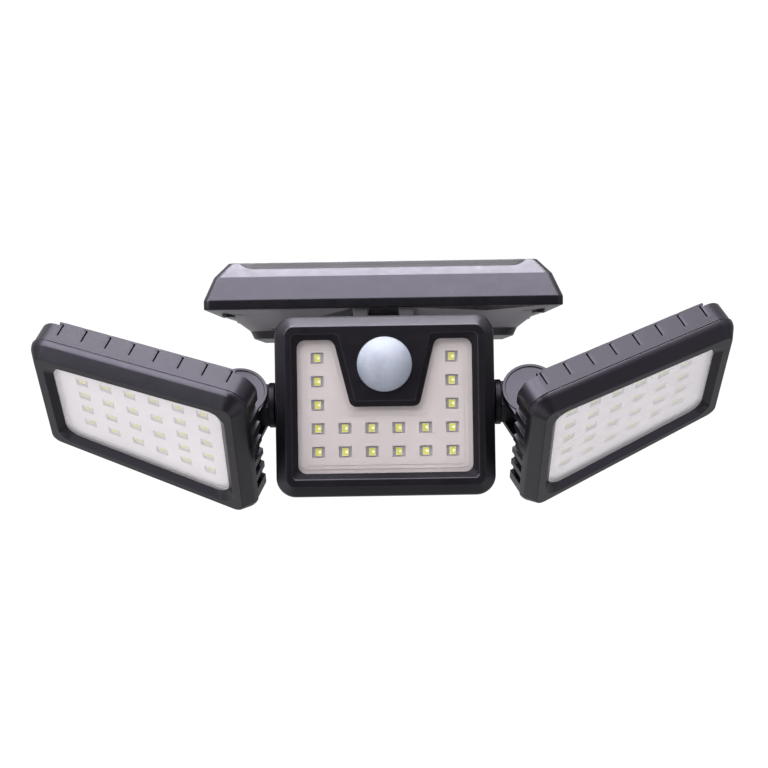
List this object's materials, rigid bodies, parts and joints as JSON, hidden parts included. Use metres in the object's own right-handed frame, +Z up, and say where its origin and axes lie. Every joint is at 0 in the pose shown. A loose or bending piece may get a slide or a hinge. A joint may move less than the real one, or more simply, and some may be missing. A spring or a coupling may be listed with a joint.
{
  "type": "motion sensor security light",
  "caption": "Wall-mounted solar security light: a flat solar unit over a square head with a motion sensor dome, and a swivelling lamp head on an arm at each side.",
  "frame": {"origin": "middle of the wall plate's back face, between its two screw holes", "axes": "+X to the right seen from the front, -Y out from the wall, +Z up"},
  "size_m": [0.3087, 0.1673, 0.1117],
  "materials": {
    "black_shell": "fine satin moulded black plastic",
    "grey_bevel": "semi-gloss black plastic",
    "clear_cover": "clear plastic cover",
    "pane": "clear hard coating over the cells",
    "cells": "dark blue-black silicon",
    "reflector": "white reflective plastic",
    "emitter": "yellow phosphor in a white body",
    "dome": "milky white plastic",
    "board": "green coated circuit board",
    "dark_parts": "black components",
    "seal": "soft black rubber",
    "steel": "zinc-plated steel",
    "black_steel": "blackened steel",
    "cell_wrap": "shrink film",
    "detector": "metal can",
    "button": "soft rubber"
  },
  "bodies": {
    "solar_unit": {"wall_plate": "black_shell", "lock_screws": "steel", "panel_frame": "grey_bevel", "frame_seal": "seal", "panel_backing": "dark_parts", "solar_cells": "cells", "solar_pane": "pane", "tray": "black_shell", "frame_screws": "black_steel", "cell_cradle": "dark_parts", "battery_cell": "cell_wrap", "control_board": "board", "board_parts": "dark_parts", "tilt_pin": "black_steel", "tilt_nut": "steel"},
    "button": {"mode_button": "button"},
    "centre_head": {"centre_bezel": "black_shell", "centre_cover": "clear_cover", "centre_reflector": "reflector", "centre_led_board": "board", "centre_emitters": "emitter", "sensor_dome": "dome", "sensor_board": "board", "sensor_element": "detector", "centre_gasket": "seal", "centre_shell": "black_shell", "centre_screws": "black_steel", "left_swivel_washer": "steel", "right_swivel_washer": "steel"},
    "left_arm_body": {"left_arm": "black_shell", "left_swivel_bolt": "steel"},
    "right_arm_body": {"right_arm": "black_shell", "right_swivel_bolt": "steel"},
    "left_head": {"left_bezel": "black_shell", "left_cover": "clear_cover", "left_reflector": "reflector", "left_led_board": "board", "left_emitters": "emitter", "left_gasket": "seal", "left_shell": "black_shell", "left_screws": "black_steel", "left_hinge_bolt": "black_steel", "left_hinge_nut": "steel"},
    "right_head": {"right_bezel": "black_shell", "right_cover": "clear_cover", "right_reflector": "reflector", "right_led_board": "board", "right_emitters": "emitter", "right_gasket": "seal", "right_shell": "black_shell", "right_screws": "black_steel", "right_hinge_bolt": "black_steel", "right_hinge_nut": "steel"}
  },
  "joints": [
    {"name": "centre_tilt", "type": "hinge", "parent": "solar_unit", "child": "centre_head", "pos_m": [0, -0.1073, -0.0114], "axis": [1, 0, 0], "range_deg": [-15, 35]},
    {"name": "left_swivel", "type": "hinge", "parent": "centre_head", "child": "left_arm_body", "pos_m": [-0.05, -0.1101, -0.04504], "axis": [1, 0, 0], "range_deg": [-45, 60]},
    {"name": "right_swivel", "type": "hinge", "parent": "centre_head", "child": "right_arm_body", "pos_m": [0.05, -0.1101, -0.04504], "axis": [1, 0, 0], "range_deg": [-45, 60]},
    {"name": "left_turn", "type": "hinge", "parent": "left_arm_body", "child": "left_head", "pos_m": [-0.065, -0.1101, -0.04504], "axis": [0, 0.8192, -0.5736], "range_deg": [-14, 32]},
    {"name": "right_turn", "type": "hinge", "parent": "right_arm_body", "child": "right_head", "pos_m": [0.065, -0.1101, -0.04504], "axis": [0, -0.8517, 0.524], "range_deg": [-18, 28]},
    {"name": "mode_press", "type": "slide", "parent": "solar_unit", "child": "button", "axis": [0, 0, 1], "range_m": [0, 0.001], "stiffness_N_per_m": 400, "springref_m": -0.0006}
  ]
}
